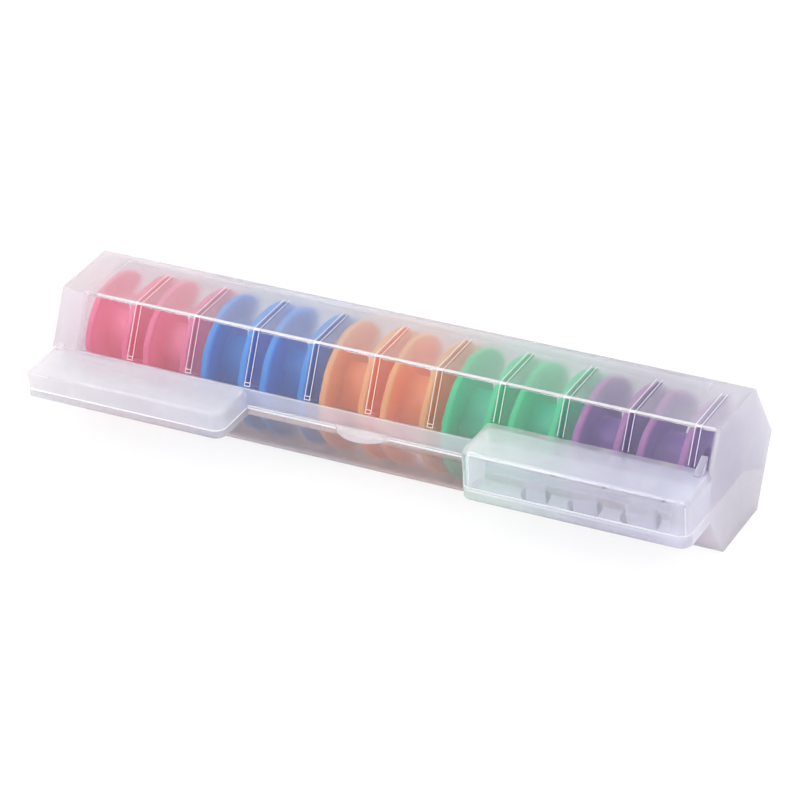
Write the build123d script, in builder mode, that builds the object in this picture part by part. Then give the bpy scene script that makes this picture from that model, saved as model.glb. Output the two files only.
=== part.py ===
from build123d import *
import math
import os

# Bobbin storage box, millimetres. X runs along the box, -Y is the front, +Z is up.
# The origin is on the resting face, under the middle of the bobbin row.

# Bobbins
bobbin_colours = ["red", "blue", "orange", "green", "purple"]
bobbins_per_colour = 2
bobbin_pitch = 11.5
bobbin_width = 8.6
flange_radius = 10.15
flange_thickness = 1.2
flange_edge_radius = 0.3
barrel_radius = 4.7
bore_radius = 3.05
thread_hole_radius = 0.8
thread_hole_from_barrel = 2.9

# Six-sided case round the bobbins, whose front corner is cut by an upright skirt
end_space = 3.8
wall = 1.0
face_lean = 28.8
floor_clearance = 0.15
top_clearance = 0.65
side_clearance = 0.46
front_clearance = 0.75
corner_radius = 0.45

# Seam between the base and the lid, level in front and lower at the hinge
seam_z = 10.4
seam_gap = 0.05
seam_level_to_y = 1.5
hinge_seam_z = 6.2
hinge_seam_inside_face = 0.6

# Dividers
divider_thickness = 1.0
lid_divider_depth = 3.2
lid_divider_above_ledge = 0.6
lid_divider_end_y = 3.4
base_divider_height = 2.2
base_divider_inset = 0.7

# Side compartments in front of the case: a tray on the base under a dome on the lid
left_wing_inner_x = 23.0
left_wing_reach = 9.0
left_tray_thickness = 1.25
right_wing_inner_x = 21.0
right_wing_reach = 8.3
right_wing_height = 6.7
right_tray_thickness = 2.0
wing_wall = 1.1
wing_corner_radius = 2.0
left_end_corner_radius = 1.1
pocket_corner_radius = 0.9
left_top_edge_radius = 0.9
right_top_edge_radius = 1.2
tray_floor = 1.0

# Ring sockets on the right tray
socket_from_end = [28.2, 19.5, 9.7]
socket_radius = [1.9, 2.3, 2.8]
socket_wall = 0.7
socket_from_face = 4.0
socket_above_seam = 1.8

# Thumb tab and edge bead on the lid's front
tab_chord = 10.4
tab_reach = 2.8
tab_thickness = 0.9
bead_height = 0.8
bead_reach = 0.35

# Corner gussets where the lid's window meets the side compartments
gusset_thickness = 1.2
gusset_from_end = 1.8
right_gusset_height = 2.2
left_gusset_height = 0.9
gusset_toe_height = 0.2

# Clip hinge on the back
hinge_above_seam = 0.4
hinge_from_end = 23.3
hinge_pin_radius = 0.8
hinge_pin_clearance = 0.06
knuckle_radius = 1.7
knuckle_wall_clearance = 0.29
knuckle_width = 6.0
ear_width = 2.0
ear_gap = 0.15
ear_below_seam = 0.25
ear_foot_z = 2.5
ear_web_angle = -50
clip_web_low = 0.6
clip_web_high = 3.4
clip_web_angle = 40
clip_mouth = 1.3
clip_mouth_angle = -50

# Worked out from the sizes above
bobbin_count = len(bobbin_colours) * bobbins_per_colour
case_length = bobbin_count * bobbin_pitch + 2 * end_space
half_length = case_length / 2
bobbin_axis_z = wall + floor_clearance + flange_radius
case_height = 2 * wall + floor_clearance + 2 * flange_radius + top_clearance
lean = math.radians(face_lean)
back_corner_y = (flange_radius + side_clearance + wall) / math.cos(lean)
half_flat = back_corner_y - math.tan(lean) * case_height / 2
front_face_y = flange_radius + front_clearance + wall
ledge_height = (front_face_y - half_flat) / math.tan(lean)
ledge_z = case_height - ledge_height
wing_top_z = {-1: ledge_z, 1: seam_z + right_wing_height}
tray_thickness = {-1: left_tray_thickness, 1: right_tray_thickness}
gusset_height = {-1: left_gusset_height, 1: right_gusset_height}
tab_x = (right_wing_inner_x - left_wing_inner_x) / 2
hinge_x = half_length - hinge_from_end
hinge_z = hinge_seam_z + hinge_above_seam


def back_face_y(z):
    """Y of the lower back face at height z."""
    return half_flat + math.tan(lean) * z


hinge_y = back_face_y(hinge_z) + (knuckle_radius + knuckle_wall_clearance) / math.cos(lean)


def case_outline():
    """Outer section of the closed case in Y and Z."""
    return [
        (-half_flat, 0),
        (half_flat, 0),
        (back_corner_y, case_height / 2),
        (half_flat, case_height),
        (-half_flat, case_height),
        (-front_face_y, ledge_z),
        (-front_face_y, ledge_height),
    ]


def add_case_block():
    """Solid block with the case's outer section."""
    with BuildSketch(Plane.YZ.offset(-half_length)) as outer:
        Polygon(*case_outline(), align=None)
        fillet(outer.vertices(), corner_radius)
    extrude(outer.sketch, amount=case_length)


def cut_case_inside():
    """Hollow of the case, one wall in from every face."""
    with BuildSketch(Plane.YZ.offset(-half_length + wall)) as inner:
        Polygon(*case_outline(), align=None)
        offset(amount=-wall, kind=Kind.INTERSECTION)
    extrude(inner.sketch, amount=case_length - 2 * wall, mode=Mode.SUBTRACT)


def keep_side_of_seam(far_z, lift):
    """Keep what lies between the seam, raised by lift, and the height far_z."""
    front_y = -front_face_y - max(left_wing_reach, right_wing_reach) - wall
    back_y = back_corner_y + wall
    step_y = back_face_y(hinge_seam_z) - hinge_seam_inside_face
    seam_side = [
        (front_y, far_z),
        (front_y, seam_z + lift),
        (seam_level_to_y, seam_z + lift),
        (step_y, hinge_seam_z + lift),
        (back_y, hinge_seam_z + lift),
        (back_y, far_z),
    ]
    with BuildSketch(Plane.YZ.offset(-half_length - wall)) as kept:
        Polygon(*seam_side, align=None)
    extrude(kept.sketch, amount=case_length + 2 * wall, mode=Mode.INTERSECT)


def wing_span(side):
    """Lowest X, highest X and front Y of the compartment at side -1 or +1."""
    if side < 0:
        return -half_length, -left_wing_inner_x, -front_face_y - left_wing_reach
    return right_wing_inner_x, half_length, -front_face_y - right_wing_reach


def wing_sketch(side, height, back_y):
    """Plan of a compartment at a height, with round front corners."""
    low_x, high_x, front_y = wing_span(side)
    low_radius = left_end_corner_radius if side < 0 else wing_corner_radius
    with BuildSketch(Plane.XY.offset(height)) as plan:
        with Locations(((low_x + high_x) / 2, front_y)):
            Rectangle(high_x - low_x, back_y - front_y, align=(Align.CENTER, Align.MIN))
        fillet(plan.vertices().group_by(Axis.Y)[0].sort_by(Axis.X)[-1], wing_corner_radius)
        fillet(plan.vertices().group_by(Axis.Y)[0].sort_by(Axis.X)[0], low_radius)
    return plan.sketch


def pocket_sketch(side, height, back_y):
    """Plan of the room inside a compartment, one wing wall in from its sides."""
    low_x, high_x, front_y = wing_span(side)
    width = high_x - low_x - 2 * wing_wall
    depth = back_y - front_y - wing_wall
    with BuildSketch(Plane.XY.offset(height)) as plan:
        with Locations(((low_x + high_x) / 2, back_y)):
            Rectangle(width, depth, align=(Align.CENTER, Align.MAX))
        fillet(plan.vertices().group_by(Axis.Y)[0], pocket_corner_radius)
    return plan.sketch


def divider_positions(first):
    """X of the dividers from number first on; number 0 is at the row's left end."""
    row_start = -bobbin_count * bobbin_pitch / 2
    return [row_start + number * bobbin_pitch for number in range(first, bobbin_count + 1)]


def on_knuckle(angle):
    """Point of the hinge knuckle's round side at an angle in degrees above +Y."""
    turn = math.radians(angle)
    return hinge_y + knuckle_radius * math.cos(turn), hinge_z + knuckle_radius * math.sin(turn)


def make_base():
    with BuildPart() as base:
        for side in (-1, 1):
            under_z = seam_z - tray_thickness[side]
            tray = wing_sketch(side, under_z, -front_face_y + wall / 2)
            extrude(tray, amount=tray_thickness[side])
            recess = pocket_sketch(side, under_z + tray_floor, -front_face_y)
            extrude(recess, amount=tray_thickness[side], mode=Mode.SUBTRACT)
        add_case_block()
        cut_case_inside()
        keep_side_of_seam(-wall, 0)

        # Low dividers on the floor keep the bobbins upright
        for x in divider_positions(0):
            with BuildSketch(Plane.XY.offset(wall / 2)):
                with Locations((x, 0)):
                    Rectangle(divider_thickness, 2 * (half_flat - base_divider_inset))
            extrude(amount=wall / 2 + base_divider_height)

        # Ring sockets stand on the right tray's floor
        socket_foot_z = seam_z - right_tray_thickness + tray_floor / 2
        for from_end, radius in zip(socket_from_end, socket_radius):
            with BuildSketch(Plane.XY.offset(socket_foot_z)):
                with Locations((half_length - from_end, -front_face_y - socket_from_face)):
                    Circle(radius)
                    Circle(radius - socket_wall, mode=Mode.SUBTRACT)
            extrude(amount=seam_z + socket_above_seam - socket_foot_z)

        # Each hinge station has two ears with a short pin between them
        ear_top_z = hinge_seam_z - ear_below_seam
        ear_web = [
            (back_face_y(ear_top_z) - wall / 2, ear_top_z),
            (back_face_y(ear_foot_z) - wall / 2, ear_foot_z),
            on_knuckle(ear_web_angle),
            (hinge_y, hinge_z),
        ]
        ear_offset = knuckle_width / 2 + ear_gap
        for station in (-hinge_x, hinge_x):
            for start in (station - ear_offset - ear_width, station + ear_offset):
                with BuildSketch(Plane.YZ.offset(start)):
                    Polygon(*ear_web, align=None)
                    with Locations((hinge_y, hinge_z)):
                        Circle(knuckle_radius)
                extrude(amount=ear_width)
            with BuildSketch(Plane.YZ.offset(station - ear_offset - ear_width / 2)):
                with Locations((hinge_y, hinge_z)):
                    Circle(hinge_pin_radius)
            extrude(amount=2 * ear_offset + ear_width)
    return base


def divider_outline():
    """Section of a lid divider: down the window and part of the way across the top."""
    ledge = Vector(-front_face_y, ledge_z)
    ridge = Vector(-half_flat, case_height)
    up_window = (ridge - ledge).normalized()
    inward = Vector(up_window.Y, -up_window.X)

    def under_ridge(depth):
        back_along = -depth * (1 + inward.Y) / up_window.Y
        return ridge + inward * depth + up_window * back_along

    start = ledge + up_window * lid_divider_above_ledge
    shallow = wall / 2
    deep = wall + lid_divider_depth
    points = [
        start + inward * shallow,
        under_ridge(shallow),
        Vector(lid_divider_end_y, case_height - shallow),
        Vector(lid_divider_end_y, case_height - deep),
        under_ridge(deep),
        start + inward * deep,
    ]
    return [(point.X, point.Y) for point in points]


def window_y(z):
    """Y of the sloping window's outer face at height z."""
    return -half_flat - math.tan(lean) * (case_height - z)


def make_lid():
    lid_seam_z = seam_z + seam_gap
    with BuildPart() as lid:
        for side in (-1, 1):
            dome = wing_sketch(side, lid_seam_z, -half_flat)
            extrude(dome, amount=wing_top_z[side] - lid_seam_z)
        top_edges = lid.faces().filter_by(Axis.Z).group_by(Axis.Z)[1:]
        rims = [edge for level in top_edges for face in level for edge in face.edges()]
        outer_rims = [edge for edge in rims if edge.center().Y < -front_face_y]
        fillet([edge for edge in outer_rims if edge.center().X < 0], left_top_edge_radius)
        fillet([edge for edge in outer_rims if edge.center().X > 0], right_top_edge_radius)
        for side in (-1, 1):
            pocket = pocket_sketch(side, lid_seam_z, -half_flat)
            extrude(pocket, amount=wing_top_z[side] - wing_wall - lid_seam_z, mode=Mode.SUBTRACT)
        add_case_block()
        cut_case_inside()
        keep_side_of_seam(case_height + wall, seam_gap)

        # The left end of the row has no divider in the lid
        for x in divider_positions(1):
            with BuildSketch(Plane.YZ.offset(x - divider_thickness / 2)):
                Polygon(*divider_outline(), align=None)
            extrude(amount=divider_thickness)

        # Thumb tab: a segment of a circle that stands out of the lower edge
        tab_radius = (tab_chord**2 / 4 + tab_reach**2) / (2 * tab_reach)
        with BuildSketch(Plane.XY.offset(lid_seam_z)):
            with Locations((tab_x, -front_face_y - tab_reach + tab_radius)):
                Circle(tab_radius)
            with Locations((tab_x, -front_face_y + wall / 2)):
                Rectangle(
                    2 * tab_radius, 2 * tab_radius, align=(Align.CENTER, Align.MIN), mode=Mode.SUBTRACT
                )
        extrude(amount=tab_thickness)

        # Bead along the lower edge, between the two compartments
        with BuildSketch(Plane.XY.offset(lid_seam_z)):
            with Locations((-left_wing_inner_x, -front_face_y - bead_reach)):
                Rectangle(
                    left_wing_inner_x + right_wing_inner_x,
                    bead_reach + wall / 2,
                    align=(Align.MIN, Align.MIN),
                )
        extrude(amount=bead_height)

        for side in (-1, 1):
            low_z = wing_top_z[side] - wing_wall / 2
            peak_z = wing_top_z[side] + gusset_height[side]
            toe_y = window_y(wing_top_z[side]) - gusset_height[side]
            gusset = [
                (window_y(peak_z) + wall / 4, peak_z),
                (window_y(low_z) + wall / 4, low_z),
                (toe_y, low_z),
                (toe_y, wing_top_z[side] + gusset_toe_height),
            ]
            start = side * (half_length - gusset_from_end) - gusset_thickness / 2
            with BuildSketch(Plane.YZ.offset(start)):
                Polygon(*gusset, align=None)
            extrude(amount=gusset_thickness)

        # Clips that grip the pins of the base
        clip_web = [
            (back_face_y(hinge_z + clip_web_low) - wall / 2, hinge_z + clip_web_low),
            (back_face_y(hinge_z + clip_web_high) - wall / 2, hinge_z + clip_web_high),
            on_knuckle(clip_web_angle),
            (hinge_y, hinge_z),
        ]
        for station in (-hinge_x, hinge_x):
            with BuildSketch(Plane.YZ.offset(station - knuckle_width / 2)):
                Polygon(*clip_web, align=None)
                with Locations((hinge_y, hinge_z)):
                    Circle(knuckle_radius)
                    Circle(hinge_pin_radius + hinge_pin_clearance, mode=Mode.SUBTRACT)
                with Locations(Location((hinge_y, hinge_z), clip_mouth_angle)):
                    Rectangle(
                        2 * knuckle_radius, clip_mouth, align=(Align.MIN, Align.CENTER), mode=Mode.SUBTRACT
                    )
            extrude(amount=knuckle_width)
    return lid


def make_bobbin(x):
    half_width = bobbin_width / 2
    inner_face = half_width - flange_thickness
    profile = [
        (-half_width, bore_radius),
        (-half_width, flange_radius),
        (-inner_face, flange_radius),
        (-inner_face, barrel_radius),
        (inner_face, barrel_radius),
        (inner_face, flange_radius),
        (half_width, flange_radius),
        (half_width, bore_radius),
    ]
    with BuildPart() as bobbin:
        with BuildSketch(Plane((x, 0, bobbin_axis_z), x_dir=(1, 0, 0), z_dir=(0, -1, 0))) as half:
            Polygon(*profile, align=None)
            fillet(half.vertices().group_by(Axis.Z)[-1], flange_edge_radius)
        revolve(axis=Axis((x, 0, bobbin_axis_z), (1, 0, 0)))
        with BuildSketch(Plane.YZ.offset(x - half_width)):
            with Locations((0, bobbin_axis_z + barrel_radius + thread_hole_from_barrel)):
                Circle(thread_hole_radius)
        extrude(amount=bobbin_width, mode=Mode.SUBTRACT)
    return bobbin


def save(piece, label):
    piece.part.label = label
    export_step(piece.part, f"parts/{label}.step")


os.makedirs("parts", exist_ok=True)
save(make_base(), "base")
save(make_lid(), "lid")
first_bobbin_x = -(bobbin_count - 1) * bobbin_pitch / 2
for number in range(bobbin_count):
    colour = bobbin_colours[number // bobbins_per_colour]
    place = number % bobbins_per_colour + 1
    save(make_bobbin(first_bobbin_x + number * bobbin_pitch), f"{colour}_bobbin_{place}")
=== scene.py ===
import bpy
import bmesh
import math
from mathutils import Matrix, Vector


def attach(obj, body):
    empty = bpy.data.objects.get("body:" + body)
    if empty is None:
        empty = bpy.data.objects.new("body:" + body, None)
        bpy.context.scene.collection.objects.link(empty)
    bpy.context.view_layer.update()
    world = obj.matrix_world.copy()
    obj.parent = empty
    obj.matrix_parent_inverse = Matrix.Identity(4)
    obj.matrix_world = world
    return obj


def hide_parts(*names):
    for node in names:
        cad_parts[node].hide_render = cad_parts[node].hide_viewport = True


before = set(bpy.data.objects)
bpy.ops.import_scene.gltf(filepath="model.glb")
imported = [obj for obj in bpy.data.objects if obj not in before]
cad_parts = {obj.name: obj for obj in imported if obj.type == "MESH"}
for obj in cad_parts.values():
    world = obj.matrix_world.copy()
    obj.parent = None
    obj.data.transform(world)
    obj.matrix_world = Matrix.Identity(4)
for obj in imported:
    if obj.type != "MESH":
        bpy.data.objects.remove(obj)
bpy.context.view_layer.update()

mm = 0.001

# The case as modelled, in millimetres, which the pieces and surfaces below are fitted to
case = {
    "length": 122.6, "height": 23.1, "halfFlat": 6.9, "frontY": -11.9, "ledgeZ": 14.0, "pitch": 11.5,
    "axisZ": 11.3, "trayFloorZ": 9.4, "socketFromEnd": (28.2, 19.5, 9.7), "socketRadius": (1.9, 2.3, 2.8),
    "socketY": -15.9,
}
halfLength = case["length"] / 2


def hexColour(text):  # sRGB hex to the linear values that shaders take
    channels = [int(text[i:i + 2], 16) / 255 for i in (1, 3, 5)]
    return tuple(c / 12.92 if c <= 0.04045 else ((c + 0.055) / 1.055) ** 2.4 for c in channels) + (1,)


def addNode(tree, kind, settings=None, links=None):
    node = tree.nodes.new(kind)
    for name, value in (settings or {}).items():
        if isinstance(name, int) or name in node.inputs:
            node.inputs[name].default_value = value
        else:
            setattr(node, name, value)
    for socket, source in (links or {}).items():
        tree.links.new(source, node.inputs[socket])
    return node


def newMaterial(name):
    material = bpy.data.materials.new(name)
    material.use_nodes = True
    material.node_tree.nodes.clear()
    return material, material.node_tree


# Polypropylene, injection moulded without pigment: milky and see-through, softly blurred by an
# etched tool face, with cloudy flow marks. Where the tool was polished it is nearly clear.
def makePolypropylene(name, look):
    material, tree = newMaterial(name)
    place = addNode(tree, "ShaderNodeTexCoord")
    cloud = addNode(tree, "ShaderNodeTexNoise",
                    {"Scale": look["cloudPerMetre"], "Detail": 3, "Roughness": 0.55},
                    {"Vector": place.outputs["Object"]})
    cloudy = addNode(tree, "ShaderNodeMapRange",
                     {"From Min": 0.3, "From Max": 0.7, "To Min": look["haze"] - look["hazeSwing"],
                      "To Max": look["haze"] + look["hazeSwing"]}, {"Value": cloud.outputs["Fac"]})
    axes = addNode(tree, "ShaderNodeSeparateXYZ", None, {"Vector": place.outputs["Object"]})
    ends = [addNode(tree, "ShaderNodeMapRange",
                    {"From Min": start * mm, "From Max": stop * mm, "To Max": look["endHaze"],
                     "interpolation_type": "SMOOTHSTEP"}, {"Value": axes.outputs["X"]})
            for start, stop in (look["leftEnd"], look["rightEnd"])]
    nearEnd = addNode(tree, "ShaderNodeMath", {"operation": "MAXIMUM"},
                      {0: ends[0].outputs[0], 1: ends[1].outputs[0]})
    haze = addNode(tree, "ShaderNodeMath", {"operation": "ADD"},
                   {0: cloudy.outputs[0], 1: nearEnd.outputs[0]})
    along = addNode(tree, "ShaderNodeMapRange",
                    {"From Min": look["tintFrom"] * mm, "From Max": look["tintTo"] * mm},
                    {"Value": axes.outputs["X"]})
    milkTone = addNode(tree, "ShaderNodeMix", {"data_type": "RGBA", 6: hexColour(look["milkColour"]),
                                               7: hexColour(look["farColour"])}, {0: along.outputs[0]})
    grain = addNode(tree, "ShaderNodeTexNoise", {"Scale": look["grainPerMetre"], "Detail": 2},
                    {"Vector": place.outputs["Object"]})
    bump = addNode(tree, "ShaderNodeBump", {"Strength": look["grainStrength"], "Distance": 0.00003},
                   {"Height": grain.outputs["Fac"]})
    if look["bends"]:
        clear = addNode(tree, "ShaderNodeBsdfPrincipled",
                        {"Base Color": hexColour(look["clearColour"]), "Roughness": look["blur"],
                         "IOR": look["ior"], "Transmission Weight": 1.0}, {"Normal": bump.outputs["Normal"]})
    else:
        clear = addNode(tree, "ShaderNodeBsdfTransparent", {"Color": hexColour(look["clearColour"])})
    front = addNode(tree, "ShaderNodeBsdfPrincipled", {"Roughness": look["milkBlur"], "IOR": look["ior"]},
                    {"Base Color": milkTone.outputs[2], "Normal": bump.outputs["Normal"]})
    through = addNode(tree, "ShaderNodeBsdfTranslucent", None, {"Color": milkTone.outputs[2]})
    milk = addNode(tree, "ShaderNodeMixShader", {0: look["throughShare"]},
                   {1: front.outputs[0], 2: through.outputs[0]})
    body = addNode(tree, "ShaderNodeMixShader", None,
                   {0: haze.outputs[0], 1: clear.outputs[0], 2: milk.outputs[0]})
    path = addNode(tree, "ShaderNodeLightPath")
    lampSide = addNode(tree, "ShaderNodeBsdfTransparent", {"Color": hexColour(look["lampColour"])})
    surface = addNode(tree, "ShaderNodeMixShader", None,
                      {0: path.outputs["Is Shadow Ray"], 1: body.outputs[0], 2: lampSide.outputs[0]})
    addNode(tree, "ShaderNodeOutputMaterial", None, {"Surface": surface.outputs[0]})
    return material


# haze is the milky share, which endHaze adds to over the millimetres of leftEnd and rightEnd. The milk goes
# from milkColour to farColour along the row, from tintFrom to tintTo.
frostedLook = {
    "haze": 0.30, "hazeSwing": 0.04, "endHaze": 0.3, "leftEnd": (-55, -61), "rightEnd": (55, 61),
    "cloudPerMetre": 90, "grainPerMetre": 3500, "grainStrength": 0.25, "clearColour": "#FBFAFD",
    "milkColour": "#EBE9EF", "farColour": "#EBE9EF", "tintFrom": -halfLength, "tintTo": halfLength,
    "ior": 1.49, "blur": 0.20, "milkBlur": 0.38, "bends": True, "throughShare": 0.45, "lampColour": "#F8F7FA",
}
# Painted shade: the lid's milk turns greyer over its last few millimetres at the right end
lidLook = {**frostedLook, "milkColour": "#F2EDEF", "farColour": "#DAD8E3", "tintFrom": 57.0, "tintTo": 60.5}
backLook = {**frostedLook, "haze": 0.5}
ledgeLook = {**frostedLook, "haze": 0.42, "blur": 0.12, "milkColour": "#EDEEF8", "farColour": "#EDEEF8"}
topLook = {**frostedLook, "haze": 0.12, "hazeSwing": 0.03, "blur": 0.22, "clearColour": "#ECEFF0",
           "milkColour": "#E6E1E4", "endHaze": 0.36, "leftEnd": (-53.5, -58), "rightEnd": (44, 70)}
windowLook = {**frostedLook, "haze": 0.05, "hazeSwing": 0.02, "clearColour": "#F6F5F9", "blur": 0.05,
              "grainStrength": 0.08,
              "endHaze": 0.5, "leftEnd": (-55.6, -57.2), "rightEnd": (60.0, 61.0)}
leftWingLook = {**frostedLook, "haze": 0.38, "blur": 0.18, "milkColour": "#F0EEF0", "farColour": "#EAEBF2",
                "tintTo": -23.0, "endHaze": 0.1}
leftTrayLook = {**leftWingLook, "milkColour": "#E3E3E6", "farColour": "#DFDFE6"}
# Painted light: the right compartment's milk is tinted green-blue at its left, where the bobbins' coloured
# light spills in, and turns lavender towards its right end; its front does the same
rightWingLook = {**frostedLook, "haze": 0.36, "blur": 0.14, "clearColour": "#F4FAFA", "milkColour": "#F0F6F4",
                 "farColour": "#E7E6F4", "tintFrom": 24.0, "tintTo": 46.0, "endHaze": 0.1}
rightFrontLook = {**rightWingLook, "haze": 0.22, "clearColour": "#FAFDFF", "blur": 0.08,
                  "milkColour": "#EDF8FD", "farColour": "#EFEFFB"}
dividerLook = {**windowLook, "haze": 0.03, "hazeSwing": 0.01, "endHaze": 0.0, "bends": False}
# Painted highlight: the ring sockets' milky share is raised so that they show whitish between their dark
# crescents
socketLook = {**dividerLook, "haze": 0.2}
floorLook = {**dividerLook, "haze": 0.06}
# Painted highlights: white milk for the strips that stand in for bright lines and edges, and a softer one for
# the ridge
brightHighlightLook = {**frostedLook, "haze": 0.74, "hazeSwing": 0.06, "blur": 0.12, "milkColour": "#FFFFFF",
            "farColour": "#FFFFFF"}
softHighlightLook = {**brightHighlightLook, "haze": 0.5, "endHaze": 0.0}
# Painted shade: the base front and bottom get a darker, warm clear colour that stands in for the shade inside
# the base and the bobbins' colour seen there
baseFrontPaintedShadeLook = {**frostedLook, "haze": 0.08, "blur": 0.23, "clearColour": "#E4D3D2", "endHaze": 0.45,
                 "rightEnd": (46, 60)}
# Painted shade: dark milk for the strips around the ring sockets, paler for the left ones
paintedShadeLook = {**frostedLook, "haze": 0.88, "milkColour": "#4A5664", "farColour": "#4A5664",
             "clearColour": "#8A929C", "blur": 0.1, "endHaze": 0.0}
palePaintedShadeLook = {**paintedShadeLook, "haze": 0.5, "milkColour": "#707C88", "farColour": "#707C88"}

frostedPolypropylene = makePolypropylene("frostedPolypropylene", frostedLook)
lidPolypropylene = makePolypropylene("frostedLidPolypropylene", lidLook)
backPolypropylene = makePolypropylene("frostedBackPolypropylene", backLook)
ledgePolypropylene = makePolypropylene("frostedLedgePolypropylene", ledgeLook)
topPolypropylene = makePolypropylene("thinTopPolypropylene", topLook)
windowPolypropylene = makePolypropylene("polishedWindowPolypropylene", windowLook)
dividerPolypropylene = makePolypropylene("clearDividerPolypropylene", dividerLook)
leftWingPolypropylene = makePolypropylene("leftCompartmentPolypropylene", leftWingLook)
leftTrayPolypropylene = makePolypropylene("leftTrayPolypropylene", leftTrayLook)
rightWingPolypropylene = makePolypropylene("rightCompartmentPolypropylene", rightWingLook)
rightFrontPolypropylene = makePolypropylene("rightCompartmentFrontPolypropylene", rightFrontLook)
brightHighlightPolypropylene = makePolypropylene("paintedBrightHighlightPolypropylene", brightHighlightLook)
softHighlightPolypropylene = makePolypropylene("paintedSoftHighlightPolypropylene", softHighlightLook)
baseFrontPaintedShadePolypropylene = makePolypropylene("baseFrontPaintedShadePolypropylene", baseFrontPaintedShadeLook)
paintedShadePolypropylene = makePolypropylene("paintedShadeCrescentPolypropylene", paintedShadeLook)
palePaintedShadePolypropylene = makePolypropylene("palePaintedShadeCrescentPolypropylene", palePaintedShadeLook)
floorPolypropylene = makePolypropylene("clearFloorDividerPolypropylene", floorLook)
socketPolypropylene = makePolypropylene("ringSocketPolypropylene", socketLook)


# Polystyrene, injection moulded in a clear colour: glossy. The flanges are painted in a second tone towards
# their rims, a painted glow that stands in for the light gathering there
def makePolystyrene(name, look):
    material, tree = newMaterial(name)
    place = addNode(tree, "ShaderNodeTexCoord")
    fromAxis = addNode(tree, "ShaderNodeVectorMath", {"operation": "SUBTRACT", 1: (0, 0, case["axisZ"] * mm)},
                       {0: place.outputs["Object"]})
    sideways = addNode(tree, "ShaderNodeVectorMath", {"operation": "MULTIPLY", 1: (0, 1, 1)},
                       {0: fromAxis.outputs[0]})
    radius = addNode(tree, "ShaderNodeVectorMath", {"operation": "LENGTH"}, {0: sideways.outputs[0]})
    # Painted glow: the share of the rim tone grows towards the flanges' rims
    paintedRimGlow = addNode(tree, "ShaderNodeMapRange",
                    {"From Min": look["glowFrom"] * mm, "From Max": look["glowTo"] * mm,
                     "interpolation_type": "SMOOTHSTEP"}, {"Value": radius.outputs["Value"]})
    flow = addNode(tree, "ShaderNodeTexNoise", {"Scale": look["flowPerMetre"], "Detail": 3},
                   {"Vector": place.outputs["Object"]})
    drift = addNode(tree, "ShaderNodeMapRange", {"To Min": -look["drift"], "To Max": look["drift"]},
                    {"Value": flow.outputs["Fac"]})
    share = addNode(tree, "ShaderNodeMath", {"operation": "ADD", "use_clamp": True},
                    {0: paintedRimGlow.outputs[0], 1: drift.outputs[0]})
    tone = addNode(tree, "ShaderNodeMix", {"data_type": "RGBA", 6: hexColour(look["body"]),
                                           7: hexColour(look["rim"])}, {0: share.outputs[0]})
    wear = addNode(tree, "ShaderNodeMapRange", {"To Min": look["smooth"], "To Max": look["worn"]},
                   {"Value": flow.outputs["Fac"]})
    shell = addNode(tree, "ShaderNodeBsdfPrincipled", {"IOR": look["ior"]},
                    {"Base Color": tone.outputs[2], "Roughness": wear.outputs[0]})
    glow = addNode(tree, "ShaderNodeBsdfTranslucent", None, {"Color": tone.outputs[2]})
    solid = addNode(tree, "ShaderNodeMixShader", {0: look["glow"]},
                    {1: shell.outputs[0], 2: glow.outputs[0]})
    path = addNode(tree, "ShaderNodeLightPath")
    toLamp = addNode(tree, "ShaderNodeMath", {"operation": "MULTIPLY", 1: look["lampShare"]},
                     {0: path.outputs["Is Shadow Ray"]})
    lampSide = addNode(tree, "ShaderNodeBsdfTransparent", None, {"Color": tone.outputs[2]})
    surface = addNode(tree, "ShaderNodeMixShader", None,
                      {0: toLamp.outputs[0], 1: solid.outputs[0], 2: lampSide.outputs[0]})
    addNode(tree, "ShaderNodeOutputMaterial", None, {"Surface": surface.outputs[0]})
    return material


bobbinLook = {
    "glow": 0.5, "lampShare": 0.5, "glowFrom": 8.9, "glowTo": 10.1, "drift": 0.2, "flowPerMetre": 160,
    "ior": 1.57, "smooth": 0.32, "worn": 0.52,
}
bobbinLooks = {
    "red": {**bobbinLook, "body": "#FF9CC0", "rim": "#FF8CB8"},
    "blue": {**bobbinLook, "body": "#0D92E3", "rim": "#20B4FF"},
    "orange": {**bobbinLook, "body": "#FFB980", "rim": "#FFCE8C"},
    "green": {**bobbinLook, "body": "#0CE4BC", "rim": "#28ECAC"},
    "purple": {**bobbinLook, "body": "#9668C6", "rim": "#C884CA"},
}
polystyrene = {colour: makePolystyrene(colour + "Polystyrene", look) for colour, look in bobbinLooks.items()}
for name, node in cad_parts.items():
    colour = name.split("_")[0]
    if colour in polystyrene:
        node.data.materials.clear()
        node.data.materials.append(polystyrene[colour])
print("materials made")


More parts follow.
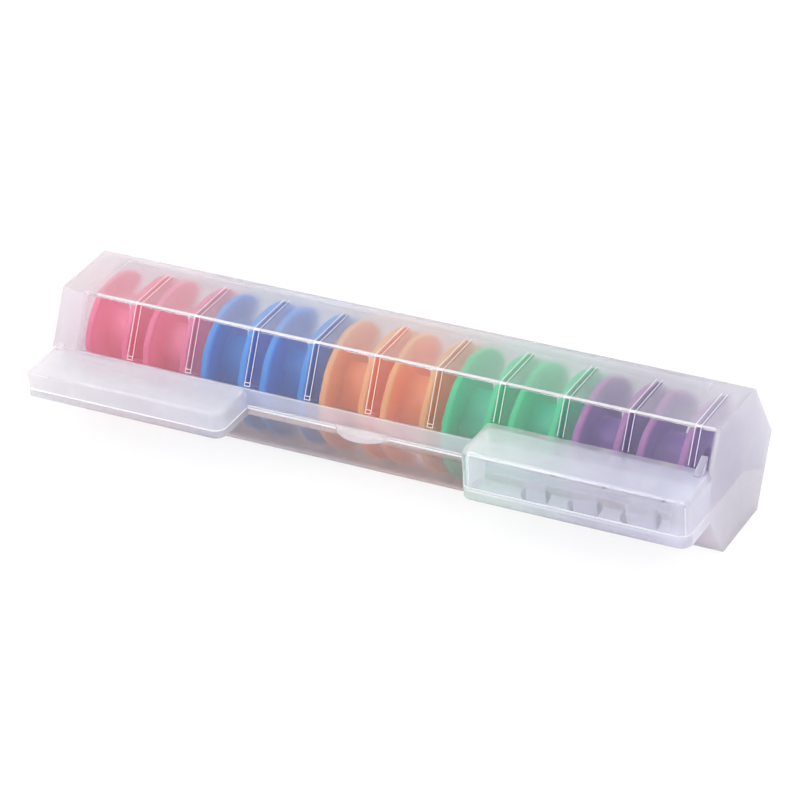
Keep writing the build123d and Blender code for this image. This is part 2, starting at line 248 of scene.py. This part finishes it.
# A moulded shell starts as a merged copy of the CAD solid, whose sharp edges are then rounded
def makeShell(name, nodeName, look):
    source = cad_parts[nodeName]
    mesh = source.data.copy()
    mesh.name = name
    work = bmesh.new()
    work.from_mesh(mesh)
    bmesh.ops.remove_doubles(work, verts=work.verts, dist=look["mergeMm"] * mm)
    bmesh.ops.dissolve_limit(work, angle_limit=math.radians(look["flatDegrees"]), verts=work.verts,
                             edges=work.edges, delimit={"NORMAL"})
    work.to_mesh(mesh)
    work.free()
    piece = bpy.data.objects.new(name, mesh)
    bpy.context.scene.collection.objects.link(piece)
    rounding = piece.modifiers.new("rounding", "BEVEL")
    rounding.width = look["edgeMm"] * mm
    rounding.segments = look["segments"]
    rounding.limit_method = "ANGLE"
    rounding.angle_limit = math.radians(look["roundDegrees"])
    graph = bpy.context.evaluated_depsgraph_get()
    mesh = bpy.data.meshes.new_from_object(piece.evaluated_get(graph), depsgraph=graph)
    piece.modifiers.clear()
    piece.data = mesh
    mesh.materials.clear()
    slots = {}
    for polygon in mesh.polygons:
        material = look["pickMaterial"](polygon.center / mm, polygon.normal)
        if material not in slots:
            slots[material] = len(slots)
            mesh.materials.append(material)
        polygon.material_index = slots[material]
        polygon.use_smooth = True
    mesh.set_sharp_from_angle(angle=math.radians(look["sharpDegrees"]))
    return piece


ledgePoint = Vector((0, case["frontY"], case["ledgeZ"]))
ridgePoint = Vector((0, -case["halfFlat"], case["height"]))
windowRun = (ridgePoint - ledgePoint).normalized()
windowNormal = Vector((0, -windowRun.z, windowRun.y))

# Where one surface of the shells ends and the next begins, in millimetres
zones = {
    "wallDepth": 1.2, "dividerDepth": 0.9, "dividerFoot": 0.3, "insideEnds": 59.5, "dividerEndY": 3.6,
    "windowEndY": -4, "pastFront": 0.5, "ribX": (58.8, 60.2), "rightWingX": 20.9, "leftWingX": -22.9,
    "backY": 6, "ledgeY": -10.5, "socketRim": 0.1, "socketFoot": 0.05, "baseFrontY": -4, "bottomZ": 1.3,
    "floorDividerY": 9,
}


def pickLidMaterial(centre, normal):
    underWindow = -(centre - ledgePoint).dot(windowNormal)
    underTop = case["height"] - centre.z
    overLedge = centre.z - case["ledgeZ"]
    inside = min(underWindow, underTop) > zones["dividerDepth" if abs(normal.x) > 0.3 else "wallDepth"]
    inRow = abs(centre.x) < zones["insideEnds"] and centre.y < zones["dividerEndY"]
    if inside and inRow and overLedge > zones["dividerFoot"]:
        return dividerPolypropylene
    if abs(normal.dot(windowNormal)) > 0.995 and centre.y < zones["windowEndY"]:
        return windowPolypropylene
    if underTop < zones["wallDepth"] and abs(normal.z) > 0.9:
        return topPolypropylene
    onWing = centre.y < case["frontY"] - zones["pastFront"]
    onRib = underWindow < 0 and zones["ribX"][0] < abs(centre.x) < zones["ribX"][1]
    if centre.x > zones["rightWingX"] and (onWing and normal.x < 0.7 or onRib):
        return rightFrontPolypropylene if onWing and abs(normal.y) > 0.7 else rightWingPolypropylene
    if centre.x < zones["leftWingX"] and (onWing or onRib):
        return leftWingPolypropylene
    if centre.y > zones["backY"]:
        return backPolypropylene
    onFront = centre.y < zones["ledgeY"] and abs(normal.y) > 0.7 and overLedge < 0
    return ledgePolypropylene if onFront else lidPolypropylene


def pickBaseMaterial(centre, normal):
    for fromEnd, radius in zip(case["socketFromEnd"], case["socketRadius"]):
        away = math.hypot(centre.x - halfLength + fromEnd, centre.y - case["socketY"])
        if away < radius + zones["socketRim"] and centre.z > case["trayFloorZ"] + zones["socketFoot"]:
            return socketPolypropylene
    if centre.y < case["frontY"] - zones["pastFront"]:
        return leftTrayPolypropylene if centre.x < 0 else rightWingPolypropylene
    # The base front and bottom take the painted shade
    if centre.y < zones["baseFrontY"] and abs(normal.y) > 0.5 or centre.z < zones["bottomZ"]:
        return baseFrontPaintedShadePolypropylene
    inRow = abs(centre.x) < zones["insideEnds"] and centre.y < zones["floorDividerY"]
    return floorPolypropylene if abs(normal.x) > 0.5 and inRow else frostedPolypropylene


shellLook = {
    "mergeMm": 0.001, "flatDegrees": 0.6, "edgeMm": 0.12, "segments": 2, "roundDegrees": 32,
    "sharpDegrees": 30,
}
lidShell = makeShell("lidShell", "lid", {**shellLook, "pickMaterial": pickLidMaterial})
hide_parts("lid")
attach(lidShell, "lid")
baseShell = makeShell("baseShell", "base", {**shellLook, "pickMaterial": pickBaseMaterial})
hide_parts("base")
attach(baseShell, "base")
print("shells made")


# Each divider shows through the window as two fine bright lines that meet the ridge in a small block.
# These are painted highlights: one such pair of white strips is drawn here on the case's outside, and
# Geometry
# Nodes repeats it along the row. Over the right compartment the lines end at its top.
dividerHighlightLook = {
    "spread": 0.5, "line": 0.14, "proud": 0.05, "sink": 0.05, "topRun": 10.2, "topLine": 0.11,
    "block": 1.15, "blockDepth": 0.3, "footGap": 0.6,
}
longDividerHighlights = {
    **dividerHighlightLook, "name": "dividerHighlightStrips", "count": 6, "firstX": -46.0, "footZ": 14.5, "closed": True,
}
shortDividerHighlights = {
    **dividerHighlightLook, "name": "shortDividerHighlightStrips", "count": 4, "firstX": 23.0, "footZ": 17.3, "closed": False,
}


# A flat bar with slanted sides, from start to end, that stands proud of the wall and sinks into it
def addBar(work, start, end, across, out, width, proud, sink):
    half = across * width / 2
    outer, inner = out * proud, -out * sink
    ends = []
    for point in (start, end):
        ends.append([work.verts.new((point + side * half + level) * mm)
                     for side, level in ((-1, inner), (-0.7, outer), (0.7, outer), (1, inner))])
    low, high = ends
    faces = [(low[i], low[(i + 1) % 4], high[(i + 1) % 4], high[i]) for i in range(4)]
    for corners in faces + [tuple(reversed(low)), tuple(high)]:
        work.faces.new(corners)


def pieceFrom(work, name, *materials):
    bmesh.ops.recalc_face_normals(work, faces=work.faces)
    mesh = bpy.data.meshes.new(name)
    work.to_mesh(mesh)
    work.free()
    for material in materials:
        mesh.materials.append(material)
    piece = bpy.data.objects.new(name, mesh)
    bpy.context.scene.collection.objects.link(piece)
    return piece


def makeDividerHighlights(look):
    work = bmesh.new()
    sideways, back = Vector((1, 0, 0)), Vector((0, 1, 0))
    size = (look["line"], look["proud"], look["sink"])
    foot = ledgePoint + windowRun * (look["footZ"] - case["ledgeZ"]) / windowRun.z
    neck = ridgePoint - windowRun * look["blockDepth"]
    for side in (-1, 1):
        shift = sideways * side * look["spread"]
        top = ridgePoint + shift
        addBar(work, foot + shift, neck + shift, sideways, windowNormal, *size)
        addBar(work, top, top + back * look["topRun"], sideways, Vector((0, 0, 1)), look["topLine"],
               look["proud"], look["sink"])
    reach = sideways * (look["spread"] + look["line"] / 2)
    for up in (foot, foot + windowRun * look["footGap"]) if look["closed"] else ():
        addBar(work, up - reach, up + reach, windowRun, windowNormal, *size)
    addBar(work, neck, ridgePoint, sideways, windowNormal, look["block"], look["proud"], look["sink"])
    piece = pieceFrom(work, look["name"])
    repeatAlongRow(piece, look)
    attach(piece, "lid")


def makeRowTree():
    group = bpy.data.node_groups.new("repeatAlongRow", "GeometryNodeTree")
    sockets = {}
    for label, kind in (("Geometry", "NodeSocketGeometry"), ("Count", "NodeSocketInt"),
                        ("First", "NodeSocketVector"), ("Step", "NodeSocketVector"),
                        ("Material", "NodeSocketMaterial")):
        sockets[label] = group.interface.new_socket(label, in_out="INPUT", socket_type=kind).identifier
    group.interface.new_socket("Geometry", in_out="OUTPUT", socket_type="NodeSocketGeometry")
    entry = addNode(group, "NodeGroupInput")
    row = addNode(group, "GeometryNodeMeshLine", {"mode": "OFFSET"},
                  {"Count": entry.outputs["Count"], "Start Location": entry.outputs["First"],
                   "Offset": entry.outputs["Step"]})
    copies = addNode(group, "GeometryNodeInstanceOnPoints", None,
                     {"Points": row.outputs[0], "Instance": entry.outputs["Geometry"]})
    real = addNode(group, "GeometryNodeRealizeInstances", None, {"Geometry": copies.outputs[0]})
    painted = addNode(group, "GeometryNodeSetMaterial", None,
                      {"Geometry": real.outputs[0], "Material": entry.outputs["Material"]})
    addNode(group, "NodeGroupOutput", None, {"Geometry": painted.outputs[0]})
    return group, sockets


rowTree, sockets = makeRowTree()


def repeatAlongRow(piece, look):
    repeat = piece.modifiers.new("repeat", "NODES")
    repeat.node_group = rowTree
    repeat[sockets["Count"]] = look["count"]
    repeat[sockets["First"]] = (look["firstX"] * mm, 0.0, 0.0)
    repeat[sockets["Step"]] = (case["pitch"] * mm, 0.0, 0.0)
    repeat[sockets["Material"]] = brightHighlightPolypropylene
    graph = bpy.context.evaluated_depsgraph_get()
    piece.data = bpy.data.meshes.new_from_object(piece.evaluated_get(graph), depsgraph=graph)
    piece.modifiers.clear()


makeDividerHighlights(longDividerHighlights)
makeDividerHighlights(shortDividerHighlights)

# Painted highlights: white strips along long edges where the plastic is thick and catches the light, on the
# ridge, the ledge and the bead. The ridge highlight runs only over the bobbins and the empty place at the
# right.
edgeHighlightLook = {
    "ridge": 0.28, "ledge": 0.16, "beadLow": 0.36, "beadHigh": 0.13, "beadY": -12.25, "beadLowZ": 10.66,
    "beadHighZ": 11.16, "beadRun": (-22.8, 20.8), "ridgeRun": (-54.4, 60.4), "ledgeRun": (-60.4, 60.4),
    "overBead": 1.0, "proud": 0.025, "sink": 0.05,
}


def makeEdgeHighlights(look):
    forward, up, back = Vector((0, -1, 0)), Vector((0, 0, 1)), Vector((0, 1, 0))
    beadLow = Vector((0, look["beadY"], look["beadLowZ"]))
    beadHigh = Vector((0, look["beadY"], look["beadHighZ"]))
    lines = [
        (ridgePoint - windowRun * look["ridge"] / 2, look["ridgeRun"], windowRun, windowNormal,
         look["ridge"]),
        (ridgePoint + back * look["ridge"] / 2, look["ridgeRun"], back, up, look["ridge"]),
        (ledgePoint + windowRun * look["ledge"] / 2, look["ledgeRun"], windowRun, windowNormal,
         look["ledge"]),
        (beadLow, look["beadRun"], up, forward, look["beadLow"]),
        (beadHigh, look["beadRun"], up, forward, look["beadHigh"]),
    ]
    work = bmesh.new()
    for middle, (lowX, highX), across, out, width in lines:
        addBar(work, middle + Vector((lowX, 0, 0)), middle + Vector((highX, 0, 0)), across, out, width,
               look["proud"], look["sink"])
    piece = pieceFrom(work, "lidEdgeHighlights", softHighlightPolypropylene, brightHighlightPolypropylene)
    for polygon in piece.data.polygons:
        onBead = polygon.center.z < (case["ledgeZ"] - look["overBead"]) * mm
        polygon.material_index = 1 if onBead else 0
    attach(piece, "lid")


makeEdgeHighlights(edgeHighlightLook)

# Painted highlight: a white strip along the lower edge of each compartment's cover, at the parting, stands in
# for its shine
seamHighlightLook = {
    "lowZ": 10.47, "highZ": 10.80, "slope": 0.05, "proud": 0.04, "sink": 0.05, "steps": 8, "fromCase": 0.4,
}
seamPaths = [
    {"name": "leftSeamHighlight", "lowX": -halfLength, "highX": -23.0, "frontY": -20.9, "lowRadius": 1.1,
     "highRadius": 2.0, "material": brightHighlightPolypropylene},
    {"name": "rightSeamHighlight", "lowX": 21.0, "highX": halfLength, "frontY": -20.2, "lowRadius": 2.0,
     "highRadius": 2.0, "material": softHighlightPolypropylene},
]


def makeSeamHighlight(path, look):
    backY = case["frontY"] - look["fromCase"]
    outline = [(Vector((path["lowX"], backY, 0)), Vector((-1, 0, 0)))]
    corners = ((path["lowX"], path["lowRadius"], 1, 180), (path["highX"], path["highRadius"], -1, 270))
    for x, radius, side, start in corners:
        centre = Vector((x + side * radius, path["frontY"] + radius, 0))
        for step in range(look["steps"] + 1):
            angle = math.radians(start + 90 * step / look["steps"])
            outward = Vector((math.cos(angle), math.sin(angle), 0))
            outline.append((centre + outward * radius, outward))
    outline.append((Vector((path["highX"], backY, 0)), Vector((1, 0, 0))))
    levels = ((look["lowZ"], -look["sink"]), (look["lowZ"] + look["slope"], look["proud"]),
              (look["highZ"] - look["slope"], look["proud"]), (look["highZ"], -look["sink"]))
    makeStrip(path["name"], [[point + outward * out + Vector((0, 0, z)) for z, out in levels]
                             for point, outward in outline], path["material"], "lid")


# Rings of four points joined into one closed strip
def makeStrip(name, rings, material, body):
    work = bmesh.new()
    rows = [[work.verts.new(point * mm) for point in ring] for ring in rings]
    for one, two in zip(rows, rows[1:]):
        for i in range(4):
            work.faces.new((one[i], one[(i + 1) % 4], two[(i + 1) % 4], two[i]))
    work.faces.new(tuple(reversed(rows[0])))
    work.faces.new(tuple(rows[-1]))
    piece = pieceFrom(work, name, material)
    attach(piece, body)


for seamPath in seamPaths:
    makeSeamHighlight(seamPath, seamHighlightLook)

# Painted shade: behind the right compartment's front, each ring socket gets two dark strips that stand in for
# the two dark crescents of shade it shows
paintedShadeCrescentLook = {
    "lowZ": 9.5, "highZ": 11.5, "slope": 0.7, "steps": 10, "foot": 0.02, "crest": 0.03, "thick": 0.5,
    "arcs": [("Right", -5, 62, paintedShadePolypropylene), ("Left", 172, 240, palePaintedShadePolypropylene)],
}


def makePaintedShadeCrescents(look):
    sockets = zip(("small", "middle", "large"), case["socketFromEnd"], case["socketRadius"])
    for size, fromEnd, radius in sockets:
        centre = Vector((halfLength - fromEnd, case["socketY"], 0))
        foot = radius + look["foot"]
        for side, low, high, material in look["arcs"]:
            rings = []
            for step in range(look["steps"] + 1):
                share = step / look["steps"]
                angle = math.radians(low + (high - low) * share)
                outward = Vector((math.cos(angle), math.sin(angle), 0))
                swell = radius + look["crest"] + look["thick"] * math.sin(math.pi * share)
                rings.append([centre + outward * r + Vector((0, 0, z)) for r, z in (
                    (foot, look["lowZ"]), (swell, look["lowZ"] + look["slope"]),
                    (swell, look["highZ"] - look["slope"]), (foot, look["highZ"]))])
            makeStrip(size + "Crescent" + side, rings, material, "base")


makePaintedShadeCrescents(paintedShadeCrescentLook)
print("divider rims and edge lines made")

# Camera at the photograph's view; azimuth 0 looks along +Y
cameraView = {
    "azimuth": 29.89, "elevation": 31.06, "roll": -3.91, "distance": 0.6363,
    "target": (-0.00041, 0, 0.01049), "lens": 171.04,
}


def placeCamera(view):
    azimuth, elevation, roll = (math.radians(view[key]) for key in ("azimuth", "elevation", "roll"))
    back = Vector((math.sin(azimuth) * math.cos(elevation), -math.cos(azimuth) * math.cos(elevation),
                   math.sin(elevation)))
    right = Vector((math.cos(azimuth), math.sin(azimuth), 0))
    up = back.cross(right)
    rolledRight = math.cos(roll) * right + math.sin(roll) * up
    rolledUp = back.cross(rolledRight)
    turn = Matrix((rolledRight, rolledUp, back)).transposed().to_4x4()
    camera = bpy.data.objects.new("camera", bpy.data.cameras.new("camera"))
    camera.matrix_world = Matrix.Translation(Vector(view["target"]) + back * view["distance"]) @ turn
    camera.data.lens = view["lens"]
    camera.data.sensor_width = 36
    camera.data.clip_start = 0.01
    bpy.context.scene.collection.objects.link(camera)
    bpy.context.scene.camera = camera


placeCamera(cameraView)

# White paper sweep, seen a little lighter than it is lit, both straight and, less so, mirrored or through
# the plastic, where its shadow stays. It lies a hair under the flat bottom, so the faces don't coincide.
stageLook = {"size": 6.0, "level": -0.03, "colour": "#FAFAFA", "lift": 0.8, "throughLift": 0.35}


def makeFloor(look):
    material, tree = newMaterial("studioPaper")
    paper = addNode(tree, "ShaderNodeBsdfDiffuse", {"Color": hexColour(look["colour"])})
    white = addNode(tree, "ShaderNodeEmission", {"Strength": 1.0})
    path = addNode(tree, "ShaderNodeLightPath")
    straight = addNode(tree, "ShaderNodeMath", {"operation": "MULTIPLY", 1: look["lift"]},
                       {0: path.outputs["Is Camera Ray"]})
    bent = addNode(tree, "ShaderNodeMath", {"operation": "MAXIMUM"},
                   {0: path.outputs["Is Glossy Ray"], 1: path.outputs["Is Transmission Ray"]})
    through = addNode(tree, "ShaderNodeMath", {"operation": "MULTIPLY", 1: look["throughLift"]},
                      {0: bent.outputs[0]})
    seen = addNode(tree, "ShaderNodeMath", {"operation": "MAXIMUM"},
                   {0: straight.outputs[0], 1: through.outputs[0]})
    mix = addNode(tree, "ShaderNodeMixShader", None,
                  {0: seen.outputs[0], 1: paper.outputs[0], 2: white.outputs[0]})
    addNode(tree, "ShaderNodeOutputMaterial", None, {"Surface": mix.outputs[0]})
    half = look["size"] / 2
    mesh = bpy.data.meshes.new("floor")
    corners = ((-half, -half), (half, -half), (half, half), (-half, half))
    mesh.from_pydata([(x, y, look["level"] * mm) for x, y in corners], [], [(0, 1, 2, 3)])
    mesh.materials.append(material)
    floor = bpy.data.objects.new("floor", mesh)
    bpy.context.scene.collection.objects.link(floor)


makeFloor(stageLook)

lightSetup = {
    "world": {"colour": "#FFFFFF", "strength": 1.18},
    "key": {"place": (-0.35, -0.25, 0.75), "size": 0.5, "power": 2.6},
    "rim": {"place": (0.30, 0.45, 0.50), "size": 0.4, "power": 1.0},
}


def lightStage(setup):
    world = bpy.data.worlds.new("studio")
    bpy.context.scene.world = world
    world.use_nodes = True
    background = world.node_tree.nodes["Background"]
    background.inputs["Color"].default_value = hexColour(setup["world"]["colour"])
    background.inputs["Strength"].default_value = setup["world"]["strength"]
    for name in ("key", "rim"):
        lamp = setup[name]
        light = bpy.data.lights.new(name, "AREA")
        light.size = lamp["size"]
        light.energy = lamp["power"]
        holder = bpy.data.objects.new(name, light)
        holder.location = lamp["place"]
        holder.rotation_euler = (-Vector(lamp["place"])).to_track_quat("-Z", "Y").to_euler()
        bpy.context.scene.collection.objects.link(holder)


lightStage(lightSetup)
bpy.context.scene.view_settings.view_transform = "Standard"
print("stage set")
